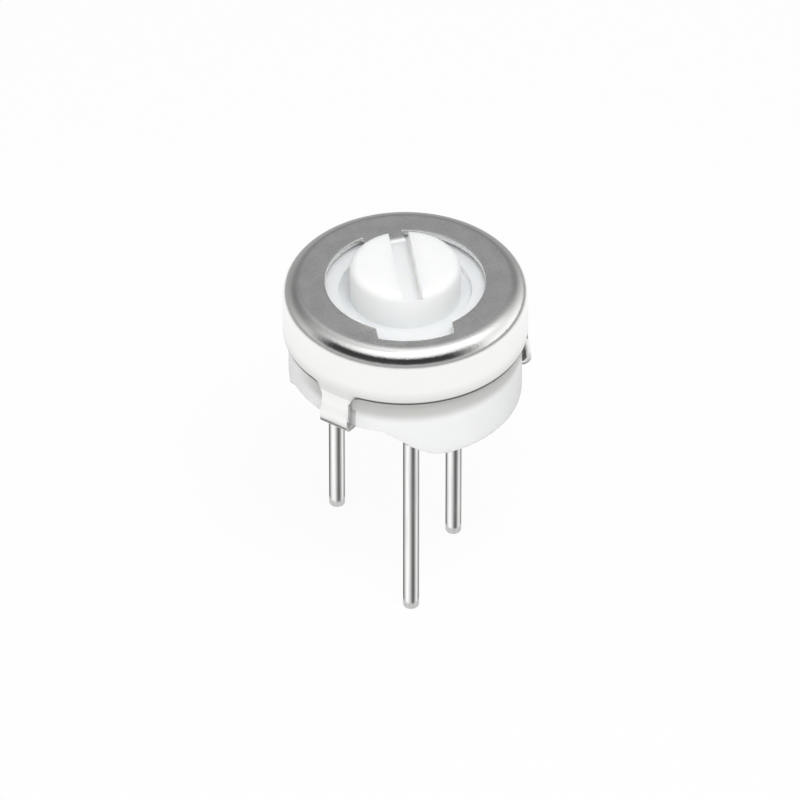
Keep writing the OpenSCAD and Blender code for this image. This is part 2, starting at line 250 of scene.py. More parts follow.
class NodeKit:
    """Builds one node tree in few words."""

    def __init__(self, owner: bpy.types.Material | bpy.types.World, output: str) -> None:
        """Starts an empty tree with its output node.

        Args:
            owner: The material or world.
            output: Type name of the output node.
        """
        owner.use_nodes = True
        self.owner = owner
        self.tree = owner.node_tree
        self.tree.nodes.clear()
        self.output = self.tree.nodes.new(output)

    @classmethod
    def for_material(cls, name: str) -> "NodeKit":
        """Starts a new material of this name."""
        return cls(bpy.data.materials.new(name), "ShaderNodeOutputMaterial")

    def add(self, kind: str, settings: dict | None = None, **inputs: object) -> bpy.types.Node:
        """Adds a node, sets its properties and fills its inputs.

        Args:
            kind: Type name of the node.
            settings: Properties of the node by name.
            inputs: Values or sockets by input name, with _ for a space, or by in_0, in_1 and so on.

        Returns:
            The new node.
        """
        node = self.tree.nodes.new(kind)
        for key, value in (settings or {}).items():
            setattr(node, key, value)
        for key, value in inputs.items():
            index = key[3:] if key.startswith("in_") else ""
            socket = node.inputs[int(index)] if index.isdigit() else node.inputs[key.replace("_", " ")]
            if isinstance(value, Socket):
                self.tree.links.new(value, socket)
            else:
                socket.default_value = value
        return node

    def place(self) -> Socket:
        """Object coordinates, in metres in the part's own frame."""
        return self.add("ShaderNodeTexCoord").outputs["Object"]

    def calc(self, operation: str, *values: Socket | float) -> Socket:
        """The result of a Math node."""
        inputs = {f"in_{i}": value for i, value in enumerate(values)}
        return self.add("ShaderNodeMath", {"operation": operation}, **inputs).outputs[0]

    def plus(self, first: Socket, second: Socket) -> Socket:
        """The sum of two values."""
        return self.calc("ADD", first, second)

    def times(self, first: Socket, second: Socket | float) -> Socket:
        """The product of two values."""
        return self.calc("MULTIPLY", first, second)

    def larger(self, first: Socket, second: Socket) -> Socket:
        """The larger of two values."""
        return self.calc("MAXIMUM", first, second)

    def step(self, value: Socket, ramp: Ramp) -> Socket:
        """The value that a ramp gives.

        Args:
            value: Where on the ramp.
            ramp: The ramp.

        Returns:
            The result of a Map Range node.
        """
        ends = {"in_1": ramp.low, "in_2": ramp.high, "in_3": ramp.to_low, "in_4": ramp.to_high}
        settings = {"interpolation_type": ramp.reach.value}
        return self.add("ShaderNodeMapRange", settings, in_0=value, **ends).outputs[0]

    def noise(self, place: Socket, grain: Grain) -> Socket:
        """The value of a noise pattern at a place."""
        return self.add("ShaderNodeTexNoise", Vector=place, Scale=grain.scale, Detail=grain.detail).outputs[0]

    def split(self, vector: Socket) -> bpy.types.NodeOutputs:
        """The X, Y and Z of a vector."""
        return self.add("ShaderNodeSeparateXYZ", Vector=vector).outputs

    def distance(self, place: Socket) -> Socket:
        """The distance of a place from the Z axis."""
        flat = self.add("ShaderNodeMapping", Vector=place, Scale=(1.0, 1.0, 0.0)).outputs[0]
        return self.add("ShaderNodeVectorMath", {"operation": "LENGTH"}, in_0=flat).outputs["Value"]

    def bearing(self, x: Socket, y: Socket) -> Socket:
        """The direction of a place about the Z axis in degrees, 0 towards -Y and 90 towards +X."""
        return self.calc("DEGREES", self.calc("ARCTAN2", x, self.times(y, -1.0)))

    def blend(self, factor: Socket, first: Socket | Colour, second: Socket | Colour) -> Socket:
        """The mix of two colours: the first at factor 0, the second at 1."""
        ends = [c if isinstance(c, Socket) else (*c, 1.0) for c in (first, second)]
        return self.add("ShaderNodeMix", {"data_type": "RGBA"}, in_0=factor, in_6=ends[0], in_7=ends[1]).outputs[2]

    def bump(self, height: Socket, distance: float, strength: float = 1.0) -> Socket:
        """The normal that a Bump node gives."""
        return self.add("ShaderNodeBump", Height=height, Distance=distance, Strength=strength).outputs[0]

    def glow(self, kind: Glow, strength: Socket | float) -> Socket:
        """A white glow of this strength."""
        return self.add(kind.value, Color=WHITE, Strength=strength).outputs[0]

    def mix(self, factor: Socket, first: Socket, second: Socket) -> Socket:
        """The mix of two shaders: the first at factor 0, the second at 1."""
        return self.add("ShaderNodeMixShader", in_0=factor, in_1=first, in_2=second).outputs[0]

    def finish(self, shader: Socket) -> bpy.types.Material | bpy.types.World:
        """Joins the last shader to the output and returns the material or world."""
        self.tree.links.new(shader, self.output.inputs["Surface"])
        return self.owner

    def finish_surface(self, **inputs: object) -> bpy.types.Material:
        """Ends the tree in a Principled shader with these inputs and returns the material."""
        return self.finish(self.add("ShaderNodeBsdfPrincipled", **inputs).outputs[0])


# Finishes


@dataclass(frozen=True)
class CanFinish:
    """Bright drawn sheet: satin with fine specks on the flat top, smooth on the edge and the skirt."""

    colour: Colour = (0.93, 0.93, 0.92)
    dark_colour: Colour = (0.84, 0.845, 0.845)
    roughness: Ramp = Ramp(0.0, 1.0, 0.28, 0.11, Reach.LINEAR)
    cut_roughness: float = 0.5
    clouds: Grain = Grain(1600.0, 5.0)
    specks: Grain = Grain(11000.0, 2.0)
    speck_share: float = 0.65
    cloud_roughness: Ramp = Ramp(0.3, 0.7, -0.02, 0.03)
    mottle: Ramp = Ramp(0.32, 0.68)
    calm: float = 0.9
    depth: float = 0.0012 * MM
    edge_depth: float = 2.2
    # By the distance from the axis: the smooth side, and the cut faces of the opening
    side_r: Ramp = Ramp(2.95 * MM, 3.12 * MM)
    cut_r: Ramp = Ramp(2.86 * MM, 2.83 * MM)
    # By the height: the cut faces, the rounded edge, the foot of the skirt with its painted shade, the tabs and
    # their folds
    cut_z: Ramp = Ramp(3.825 * MM, 3.805 * MM)
    edge_z: Ramp = Ramp(3.32 * MM, 3.42 * MM)
    painted_shade_z: Ramp = Ramp(2.12 * MM, 2.62 * MM, 0.83, 1.0)
    tab_z: Ramp = Ramp(2.04 * MM, 1.96 * MM)
    fold_z: Ramp = Ramp(1.35 * MM, 1.05 * MM, 0.0, 0.6)

    def build(self) -> bpy.types.Material:
        """Makes the material.

        Returns:
            The material.
        """
        kit = NodeKit.for_material("drawn can sheet")
        place = kit.place()
        z = kit.split(place)[2]
        radius = kit.distance(place)
        side = kit.step(radius, self.side_r)
        clouds = kit.noise(place, self.clouds)
        specks = kit.noise(place, self.specks)
        in_cut = kit.times(kit.step(z, self.cut_z), kit.step(radius, self.cut_r))
        rough = kit.plus(kit.step(side, self.roughness), kit.step(clouds, self.cloud_roughness))
        cut = kit.larger(in_cut, kit.step(z, self.fold_z))
        rough = kit.larger(rough, kit.times(cut, self.cut_roughness))
        mixed = kit.plus(kit.times(clouds, 1 - self.speck_share), kit.times(specks, self.speck_share))
        calm = kit.times(side, self.calm)
        colour = kit.blend(kit.larger(kit.step(mixed, self.mottle), calm), self.dark_colour, self.colour)
        # Painted shade: the colour darkens towards the skirt's lower edge, while the tabs keep their full colour
        level = kit.larger(kit.step(z, self.painted_shade_z), kit.step(z, self.tab_z))
        shade = kit.add("ShaderNodeCombineXYZ", X=level, Y=level, Z=level).outputs[0]
        shaded = kit.add("ShaderNodeVectorMath", {"operation": "MULTIPLY"}, in_0=colour, in_1=shade).outputs[0]
        on_edge = kit.times(kit.times(side, kit.step(z, self.edge_z)), self.edge_depth)
        height = kit.times(specks, kit.plus(kit.calc("SUBTRACT", 1.0, calm), on_edge))
        normal = kit.bump(height, self.depth)
        return kit.finish_surface(Base_Color=shaded, Metallic=1.0, Roughness=rough, Normal=normal)


@dataclass(frozen=True)
class MouldedWhite:
    """White moulded material with a soft gloss and a faint flow pattern in its colour."""

    name: str
    colour: Colour
    shade: Colour
    roughness: float
    subsurface: float = 0.0
    subsurface_depth: float = 0.7 * MM
    subsurface_radius: Colour = (1.0, 0.9, 0.8)
    flow: Grain = Grain(700.0)
    flow_step: Ramp = Ramp(0.35, 0.7)
    # Painted shadow of the can's skirt: the wall just under the skirt is darker, on the side where the photo shows
    # it
    has_painted_shadow: bool = False
    painted_shadow_colour: Colour = (0.60, 0.60, 0.58)
    painted_shadow_z: Ramp = Ramp(1.28 * MM, 1.66 * MM)
    painted_shadow_y: Ramp = Ramp(0.30 * MM, -1.20 * MM)

    def build(self) -> bpy.types.Material:
        """Makes the material.

        Returns:
            The material.
        """
        kit = NodeKit.for_material(self.name)
        place = kit.place()
        flow = kit.step(kit.noise(place, self.flow), self.flow_step)
        colour = kit.blend(flow, self.shade, self.colour)
        if self.has_painted_shadow:
            # Painted shadow under the can's skirt: full from the skirt down to 1.66 mm, gone by 1.28 mm, on the -Y
            # side only
            _, y, z = kit.split(place)
            painted_shadow = kit.times(kit.step(z, self.painted_shadow_z), kit.step(y, self.painted_shadow_y))
            colour = kit.blend(painted_shadow, colour, self.painted_shadow_colour)
        return kit.finish_surface(
            Base_Color=colour,
            Roughness=self.roughness,
            IOR=1.5,
            Subsurface_Weight=self.subsurface,
            Subsurface_Scale=self.subsurface_depth,
            Subsurface_Radius=self.subsurface_radius,
        )


@dataclass(frozen=True)
class WireFinish:
    """Bright tinned wire with fine lengthwise drawing marks."""

    colour: Colour = (0.91, 0.91, 0.90)
    mark_colour: Colour = (0.80, 0.80, 0.80)
    marks: Grain = Grain(16000.0)
    mark_squeeze: float = 0.03
    mark_step: Ramp = Ramp(0.3, 0.6)
    mark_depth: float = 0.003 * MM
    mark_strength: float = 0.6
    clouds: Grain = Grain(1500.0)
    roughness: Ramp = Ramp(0.3, 0.7, 0.11, 0.23)

    def build(self) -> bpy.types.Material:
        """Makes the material.

        Returns:
            The material.
        """
        kit = NodeKit.for_material("tinned wire")
        place = kit.place()
        scale = (1.0, 1.0, self.mark_squeeze)
        marks = kit.noise(kit.add("ShaderNodeMapping", Vector=place, Scale=scale).outputs[0], self.marks)
        return kit.finish_surface(
            Base_Color=kit.blend(kit.step(marks, self.mark_step), self.mark_colour, self.colour),
            Metallic=1.0,
            Roughness=kit.step(kit.noise(place, self.clouds), self.roughness),
            Normal=kit.bump(marks, self.mark_depth, self.mark_strength),
        )


@dataclass(frozen=True)
class PlainFinish:
    """A fired, cast or rolled surface of one colour with grain."""

    name: str
    colour: Colour
    shade: Colour
    roughness: float
    metallic: float = 0.0
    grain: Grain = Grain(4000.0, 4.0)
    depth: float = 0.003 * MM
    smoother: float = 0.04
    rougher: float = 0.06

    def build(self) -> bpy.types.Material:
        """Makes the material.

        Returns:
            The material.
        """
        kit = NodeKit.for_material(self.name)
        grain = kit.noise(kit.place(), self.grain)
        rough = Ramp(0.3, 0.7, self.roughness + self.rougher, self.roughness - self.smoother)
        return kit.finish_surface(
            Base_Color=kit.blend(kit.step(grain, Ramp(0.3, 0.7)), self.shade, self.colour),
            Metallic=self.metallic,
            Roughness=kit.step(grain, rough),
            Normal=kit.bump(grain, self.depth),
        )


# Sub-assemblies


@dataclass
class MetalCan:
    """The drawn can with its opening, notch, stop tab and crimp tabs."""

    radius: float = 3.50 * MM
    top: float = 3.84 * MM
    skirt_end: float = 2.08 * MM
    sheet: float = 0.15 * MM
    edge_r: float = 0.50 * MM
    hole_r: float = 2.29 * MM
    notch_r: float = 2.74 * MM
    notch_w: float = 2.15 * MM
    notch_angle: float = -108.0
    stop_angle: float = 82.0
    stop_w: float = 1.15 * MM
    stop_r: float = 1.66 * MM
    stop_bend: float = 0.30 * MM
    stop_drop: float = 0.23 * MM
    tab_angles: tuple[float, ...] = (-150.0, -17.0, 96.5)
    tab_w: float = 1.00 * MM
    tab_bulge: float = 0.08 * MM
    tab_bulge_over_fold: float = 0.04 * MM
    tab_flatness: float = 0.9
    tab_lip: float = 0.42 * MM
    tab_fold_r: float = 0.12 * MM
    tab_fillet: float = 0.30 * MM
    seat: float = 0.92 * MM
    roll: float = 0.13 * MM
    roll_in: float = 0.03 * MM
    columns: int = 480
    rows: int = 8
    edge_rows: int = 12
    roll_rows: int = 5
    stop_rows: int = 4
    # How far past a strip's side its first row may reach, and the grid that tells its lines apart
    strip_margin: float = 0.02 * MM
    strip_grid: float = 0.001 * MM

    def profile(self) -> Profile:
        """Outer face of the sheet.

        Returns:
            The points from the opening's rim to the skirt's lower edge.
        """
        centre = (self.radius - self.edge_r, self.top - self.edge_r)
        top = stretch((self.hole_r, self.top), (centre[0], self.top), self.rows)
        edge = arc(centre, self.edge_r, 90, 0, self.edge_rows)
        skirt = stretch((self.radius, centre[1]), (self.radius, self.skirt_end + self.roll), self.rows)
        rolled = []
        for i in range(1, self.roll_rows + 1):
            share = i / self.roll_rows
            inwards = self.roll_in * (1 - math.cos(math.pi / 2 * share))
            rolled.append((self.radius - inwards, self.skirt_end + self.roll * (1 - share)))
        return top + edge[1:] + skirt[1:] + rolled

    def rim_radius(self, angle: float) -> float:
        """Finds the opening's rim.

        Args:
            angle: Direction from the axis in radians.

        Returns:
            Distance of the rim from the axis in that direction.
        """
        turn = abs(wrapped(angle - math.radians(self.notch_angle)))
        if turn >= math.pi / 2:
            return self.hole_r
        side = self.notch_w / 2 / max(math.sin(turn), NEAR)
        return max(self.hole_r, min(self.notch_r, side))

    def cut_notch(self, bm: bmesh.types.BMesh) -> None:
        """Draws the rim back into the notch, with the flat rows following it.

        Args:
            bm: The can.
        """
        flat_end = self.radius - self.edge_r
        for vert in bm.verts:
            r, angle = polar(vert.co)
            if r > flat_end - NEAR or vert.co.z < self.top - NEAR:
                continue
            share = (r - self.hole_r) / (flat_end - self.hole_r)
            rim = self.rim_radius(angle)
            widen(vert, (rim + (flat_end - rim) * share) / r)

    def grow(
        self,
        bm: bmesh.types.BMesh,
        angle: float,
        width: float,
        is_start: Callable[[Vector], bool],
        places: list[Row],
    ) -> None:
        """Extrudes a strip from one of the can's open edges.

        Args:
            bm: The can.
            angle: Direction of the strip's middle in degrees.
            width: Width of the strip.
            is_start: Tells whether a point lies on the open edge.
            places: For each new row, a function from the offset across the strip and the
                starting point to the new point in the strip's own frame, +X pointing outwards.
        """
        turn = Matrix.Rotation(math.radians(angle), 3, "Z")
        back = turn.transposed()
        half = width / 2 + self.strip_margin
        row = []
        for edge in bm.edges:
            ends = [back @ v.co for v in edge.verts]
            if edge.is_boundary and all(is_start(p) and p.x > 0 and abs(p.y) <= half for p in ends):
                row.append(edge)
        starts = {}
        for place in places:
            made = bmesh.ops.extrude_edge_only(bm, edges=row)["geom"]
            verts = [g for g in made if isinstance(g, bmesh.types.BMVert)]
            row = [g for g in made if isinstance(g, bmesh.types.BMEdge)]
            row = [e for e in row if e.is_boundary and all(v in verts for v in e.verts)]
            row = [e for e in row if abs((back @ e.verts[0].co).y - (back @ e.verts[1].co).y) > NEAR]
            for vert in verts:
                local = back @ vert.co
                start = starts.setdefault(round(local.y / self.strip_grid), local.copy())
                vert.co = turn @ place(start.y, start)

    def place_stop(self) -> list[Row]:
        """Places the stop tab's rows: straight in from the rim, then bent down into a lip.

        Returns:
            A function for each row, as grow takes them.
        """
        flat_end = self.stop_r + self.stop_bend

        def flat_row(share: float) -> Row:
            """A row on the flat part, at a share of the way to the bend."""
            return lambda y, start: Vector((start.x + (flat_end - start.x) * share, y, self.top))

        def bent_row(turned: float) -> Row:
            """A row on the bend, turned by so many radians."""
            x = flat_end - self.stop_bend * math.sin(turned)
            z = self.top - self.stop_bend * (1 - math.cos(turned))
            return lambda y, start: Vector((x, y, z))

        def lip_row(y: float, start: Vector) -> Vector:
            """The lip's lower end."""
            return Vector((self.stop_r, y, self.top - self.sheet - self.stop_drop))

        flat = [flat_row(i / self.stop_rows) for i in range(1, self.stop_rows + 1)]
        bend = [bent_row(math.pi / 2 * i / self.rows) for i in range(1, self.rows + 1)]
        return flat + bend + [lip_row]

    def place_tab(self) -> list[Row]:
        """Places a crimp tab's rows: out of the skirt, down beside the base and inwards under it.

        Returns:
            A function for each row, as grow takes them.
        """
        outer_r = self.tab_fold_r + self.sheet
        centre = (self.radius + self.tab_bulge - outer_r, self.seat + self.tab_fold_r)
        start_z = self.skirt_end - self.tab_fillet
        bulge_z = centre[1] + self.tab_bulge_over_fold

        def row(x: float, z: float, straight: float = 1.0) -> Row:
            """A row at a distance x and height z, from round like the skirt at 0 to straight at 1."""
            return lambda y, start: Vector((x - (1 - straight) * (self.radius - start.x), y, z))

        rows = []
        for i in range(1, self.rows + 1):
            share = i / self.rows
            bulge = self.tab_bulge * (1 - math.cos(math.pi * share)) / 2
            z = start_z + (bulge_z - start_z) * share
            rows.append(row(self.radius + bulge, z, share * self.tab_flatness))
        rows += [row(x, z) for x, z in arc(centre, outer_r, 0, -90, self.rows)]
        rows += [row(centre[0] - self.tab_lip * share, centre[1] - outer_r) for share in (0.5, 1.0)]
        return rows

    def shape_skirt_edge(self, bm: bmesh.types.BMesh) -> None:
        """Draws the skirt's lower edge down into a fillet on both sides of each crimp tab.

        Args:
            bm: The can.
        """
        for vert in bm.verts:
            if vert.co.z > self.skirt_end + self.roll + NEAR:
                continue
            r, angle = polar(vert.co)
            for tab in self.tab_angles:
                offset = abs(wrapped(angle - math.radians(tab))) * self.radius
                beyond = max(0.0, offset - self.tab_w / 2)
                if beyond >= self.tab_fillet:
                    continue
                run = self.tab_fillet - beyond
                widen(vert, 1 + (self.radius / r - 1) * run / self.tab_fillet)
                if vert.co.z < self.skirt_end + NEAR:
                    vert.co.z -= self.tab_fillet - math.sqrt(self.tab_fillet**2 - run**2)

    def make(self, material: bpy.types.Material) -> None:
        """Builds the can as one sheet and gives it its thickness.

        Args:
            material: The can's finish.
        """
        bm = spun(self.profile(), self.columns)
        self.cut_notch(bm)

        def on_rim(point: Vector) -> bool:
            """Tells whether a point lies on the round part of the opening's rim."""
            return point.z > self.top - NEAR and math.hypot(point.x, point.y) < self.hole_r + NEAR

        def on_foot(point: Vector) -> bool:
            """Tells whether a point lies on the skirt's edge at the foot of the fillets."""
            return point.z < self.skirt_end - self.tab_fillet + NEAR

        self.grow(bm, self.stop_angle, self.stop_w, on_rim, self.place_stop())
        self.shape_skirt_edge(bm)
        for tab in self.tab_angles:
            self.grow(bm, tab, self.tab_w, on_foot, self.place_tab())
        obj = Piece("metal_can", Body.HOUSING, "can_metal", material, "metal_cap").build(bm)
        wall = obj.modifiers.new("sheet", "SOLIDIFY")
        wall.thickness = self.sheet
        wall.offset = -1.0
        wall.use_even_offset = True
        soften_edges(obj)


@dataclass
class WhiteBase:
    """The moulded base with two feet, the channel between them and pockets for the crimp tabs."""

    radius: float = 3.335 * MM
    rim: float = 2.60 * MM
    recess_r: float = 3.155 * MM
    recess: float = 2.22 * MM
    foot_edge: float = 0.12 * MM
    relief: float = MetalCan.seat
    relief_flat: float = 1.45 * MM
    relief_foot: float = 2.95 * MM
    relief_angle: float = 25.0
    even_from: float = 1.90 * MM
    tab_angles: tuple[float, ...] = MetalCan.tab_angles
    tab_w: float = MetalCan.tab_w
    pocket_fit: float = 0.08 * MM
    pocket_run: float = 1.30 * MM
    pocket_slant: float = 0.75 * MM
    pocket_r: float = 2.81 * MM
    pocket_depth: float = 0.12 * MM
    pocket_top: float = 1.55 * MM
    # The cutters reach past the wall and the underside, and a tab stands in the channel below this sine
    cut_past: float = 0.3 * MM
    cut_below: float = 0.1 * MM
    channel_sine: float = 0.5
    soft_angle: float = 158.0
    soft_half: float = 40.0
    soft_depth: float = 0.30 * MM
    soft_height: float = 0.90 * MM
    crumb: float = 0.0002 * MM
    columns: int = 360
    under_rows: int = 18
    edge_rows: int = 6
    wall_rows: int = 16

    def profile(self) -> Profile:
        """Section of the base before the channel is cut.

        Returns:
            The points from the middle of the underside to the middle of the recess.
        """
        centre = (self.radius - self.foot_edge, self.foot_edge)
        under = stretch((0.0, 0.0), (centre[0], 0.0), self.under_rows)
        edge = arc(centre, self.foot_edge, -90, 0, self.edge_rows)
        wall = stretch((self.radius, centre[1]), (self.radius, self.even_from), self.wall_rows)
        rim = [(self.radius, self.rim), (self.recess_r, self.rim)]
        recess = [(self.recess_r, self.recess), (0.0, self.recess)]
        return under + edge[1:] + wall[1:] + rim + recess

    def lift(self, x: float, y: float) -> float:
        """Finds the underside at a place.

        Args:
            x: Plan place.
            y: Plan place.

        Returns:
            Height of the underside over the seating plane.
        """
        turn = math.radians(self.relief_angle)
        across = abs(y * math.cos(turn) - x * math.sin(turn))
        share = min(max((across - self.relief_flat) / (self.relief_foot - self.relief_flat), 0.0), 1.0)
        return self.relief * (1 + math.cos(math.pi * share)) / 2

    def round_corner(self, vert: bmesh.types.BMVert, lift: float) -> None:
        """Draws the moulded corner of one foot in, where it is rounder than elsewhere.

        Args:
            vert: A point of the base.
            lift: Height of the underside below that point.
        """
        r, angle = polar(vert.co)
        turn = abs(math.degrees(wrapped(angle - math.radians(self.soft_angle))))
        if r < self.radius - self.soft_depth or turn > self.soft_half:
            return
        low = 1 - smooth_step(vert.co.z, 0.0, self.soft_height)
        pull = self.soft_depth * low * low * (1 - smooth_step(turn, self.soft_half / 2, self.soft_half))
        pull *= 1 - lift / self.relief
        widen(vert, 1 - pull / self.radius)

    def make(self, material: bpy.types.Material) -> None:
        """Builds the base.

        Args:
            material: The base's finish.
        """
        bm = spun(self.profile(), self.columns)
        for vert in bm.verts:
            if vert.co.z < self.even_from:
                lift = self.lift(vert.co.x, vert.co.y)
                vert.co.z = lift + vert.co.z * (1 - lift / self.even_from)
                self.round_corner(vert, lift)
        obj = Piece("moulded_base", Body.HOUSING, "base_white", material, "base").build(bm)
        for angle in self.tab_angles:
            self.cut_pocket(obj, angle)
        self.apply(obj, soften_edges(obj))
        self.dissolve_crumbs(obj.data)

    def apply(self, base: bpy.types.Object, modifier: bpy.types.Modifier) -> None:
        """Applies a modifier to the base's mesh."""
        with bpy.context.temp_override(object=base, active_object=base):
            bpy.ops.object.modifier_apply(modifier=modifier.name)

    def dissolve_crumbs(self, mesh: bpy.types.Mesh) -> None:
        """Dissolves the empty faces that the rounding leaves in the pockets' corners.

        Args:
            mesh: The base's mesh.
        """
        bm = bmesh.new()
        bm.from_mesh(mesh)
        bmesh.ops.dissolve_degenerate(bm, dist=self.crumb, edges=bm.edges)
        bm.to_mesh(mesh)
        bm.free()

    def cut_pocket(self, base: bpy.types.Object, angle: float) -> None:
        """Cuts one crimp tab's pocket: open towards the channel below, and shallow beside the tab.

        Args:
            base: The base.
            angle: Direction of the tab in degrees.
        """
        off_channel = math.sin(math.radians(self.relief_angle - angle))
        end_slant = self.pocket_slant if abs(off_channel) < self.channel_sine else 0.0
        half = self.tab_w / 2 + self.pocket_fit
        deep = (self.pocket_r, half + self.pocket_run, self.relief, end_slant)
        shallow = (self.radius - self.pocket_depth, half, self.pocket_top, 0.0)
        turn = Matrix.Rotation(math.radians(angle), 3, "Z")
        for inner, high_y, high_z, slant in (deep, shallow):
            low = Vector((inner, -half, -self.cut_below))
            high = Vector((self.radius + self.cut_past, high_y, high_z))
            middle = (high + low) / 2
            cutter = bmesh.new()
            matrix = Matrix.Translation(middle) @ Matrix.Diagonal((*(high - low), 1.0))
            for vert in bmesh.ops.create_cube(cutter, size=1.0, matrix=matrix)["verts"]:
                if vert.co.z > middle.z and vert.co.y > middle.y:
                    vert.co.y -= slant
            if off_channel < 0:
                bmesh.ops.scale(cutter, vec=(1.0, -1.0, 1.0), verts=cutter.verts)
                bmesh.ops.reverse_faces(cutter, faces=cutter.faces)
            bmesh.ops.rotate(cutter, verts=cutter.verts, cent=(0, 0, 0), matrix=turn)
            self.cut_away(base, cutter)

    def cut_away(self, base: bpy.types.Object, cutter: bmesh.types.BMesh) -> None:
        """Cuts a closed shape out of the base.

        Args:
            base: The base.
            cutter: The shape, which is freed.
        """
        tool = add_object("pocket cutter", cutter)
        cut = base.modifiers.new("pocket", "BOOLEAN")
        cut.operation = "DIFFERENCE"
        cut.solver = "EXACT"
        cut.object = tool
        self.apply(base, cut)
        bpy.data.objects.remove(tool)


@dataclass
class SlottedRotor:
    """The white rotor: slotted boss, ring face with the stop groove and lug, flange and wiper post."""

    boss_r: float = 1.58 * MM
    boss_top: float = 4.50 * MM
    boss_edge: float = 0.26 * MM
    slot_w: float = 0.58 * MM
    slot_floor: float = 3.95 * MM
    slot_angle: float = -107.0
    slot_edge: float = 0.035 * MM
    slot_end: float = 0.14 * MM
    ramp_slope: float = 38.0
    groove_r: float = 1.90 * MM
    groove: float = 3.36 * MM
    collar_r: float = 2.74 * MM
    collar: float = 3.55 * MM
    ring: float = 3.43 * MM
    flange_r: float = 3.27 * MM
    flange: float = 3.13 * MM
    chamfer: float = 0.06 * MM
    seal_r: float = 2.96 * MM
    seal_z: float = 3.54 * MM
    seal_groove: float = 0.17 * MM
    post_r: float = 0.28 * MM
    post_end: float = 3.05 * MM
    stake_r: float = 0.38 * MM
    stake_end: float = 2.98 * MM
    lug_top: float = 3.62 * MM
    lug_angle: float = 37.0
    lug_half: float = 22.4
    over_lug: float = 0.1 * MM
    columns: int = 160
    top_rows: int = 5
    edge_rows: int = 10
    collar_rows: int = 4
    seat_rows: int = 8

    def profile(self) -> Profile:
        """Turned section of the rotor.

        Returns:
            The points from the middle of the boss's top to the middle of the staked post.
        """
        edge_c = (self.boss_r - self.boss_edge, self.boss_top - self.boss_edge)
        dip = math.degrees(math.asin((self.seal_z - self.ring) / self.seal_groove))
        top = stretch((0.0, self.boss_top), (edge_c[0], self.boss_top), self.top_rows)
        edge = arc(edge_c, self.boss_edge, 90, 0, self.edge_rows)
        wall = [(self.boss_r, z) for z in (self.slot_floor, self.lug_top + self.over_lug, self.groove)]
        groove = [(self.groove_r, self.groove), (self.groove_r, self.collar)]
        collar = stretch((self.groove_r, self.collar), (self.collar_r, self.collar), self.collar_rows)[1:]
        collar.append((self.collar_r, self.ring))
        seat = arc((self.seal_r, self.seal_z), self.seal_groove, 180 + dip, 360 - dip, self.seat_rows)
        rim = [
            (self.flange_r - self.chamfer, self.ring),
            (self.flange_r, self.ring - self.chamfer),
            (self.flange_r, self.flange + self.chamfer),
            (self.flange_r - self.chamfer, self.flange),
        ]
        post = [
            (self.post_r, self.flange),
            (self.post_r, self.post_end),
            (self.stake_r, self.post_end),
            (self.stake_r, self.stake_end),
            (0.0, self.stake_end),
        ]
        return top + edge[1:] + wall + groove + collar + seat + rim + post

    def raise_lug(self, bm: bmesh.types.BMesh) -> None:
        """Lifts the groove's floor into the stop lug.

        Args:
            bm: The rotor.
        """
        for vert in bm.verts:
            r, angle = polar(vert.co)
            on_floor = abs(vert.co.z - self.groove) < NEAR and r < self.groove_r + NEAR
            turn = math.degrees(abs(wrapped(angle - math.radians(self.lug_angle))))
            if on_floor and turn <= self.lug_half:
                vert.co.z = self.lug_top

    def cut_slot(self, bm: bmesh.types.BMesh) -> None:
        """Cuts the adjustment slot across the boss, with a ramp at its front end, and rounds its edges.

        Args:
            bm: The rotor.
        """
        turn = math.radians(self.slot_angle)
        along = Vector((math.cos(turn), math.sin(turn), 0.0))
        across = Vector((-along.y, along.x, 0.0))
        half = self.slot_w / 2
        slope = math.radians(self.ramp_slope)
        foot = self.boss_r - (self.boss_top - self.slot_end - self.slot_floor) / math.tan(slope)
        ramp_normal = Vector((0.0, 0.0, math.cos(slope))) - along * math.sin(slope)
        ramp_foot = along * foot + Vector((0.0, 0.0, self.slot_floor))
        # The faces above the slot's floor are cut along its sides and its ramp, and those inside go
        for point, normal in ((across * half, across), (across * -half, across), (ramp_foot, ramp_normal)):
            faces = [f for f in bm.faces if f.calc_center_median().z > self.slot_floor]
            edges = {e for f in faces for e in f.edges}
            verts = {v for f in faces for v in f.verts}
            geom = [*verts, *edges, *faces]
            bmesh.ops.bisect_plane(bm, geom=geom, dist=MERGE, plane_co=point, plane_no=normal)
        doomed = []
        for face in bm.faces:
            middle = face.calc_center_median()
            inside = abs(middle.dot(across)) < half and middle.z > self.slot_floor
            if inside and (middle - ramp_foot).dot(ramp_normal) > 0:
                doomed.append(face)
        bmesh.ops.delete(bm, geom=doomed, context="FACES")
        # Each side wall is one face, from the cut edges round to the foot of the ramp
        rims = [e for e in bm.edges if e.is_boundary]
        ends = list(rims)
        corners = []
        for side in (-1, 1):
            at_side = [e for e in rims if all(abs(v.co.dot(across) - side * half) < NEAR for v in e.verts)]
            ends = [e for e in ends if e not in at_side]
            verts = {v for e in at_side for v in e.verts}
            tips = [v for v in verts if sum(v in e.verts for e in at_side) == 1]
            corner = bm.verts.new(ramp_foot + across * side * half)
            floor_edge = bm.edges.new((min(tips, key=lambda v: v.co.z), corner))
            ramp_edge = bm.edges.new((corner, max(tips, key=lambda v: v.co.z)))
            bmesh.ops.contextual_create(bm, geom=at_side + [floor_edge, ramp_edge])
            corners.append((corner, floor_edge, ramp_edge))
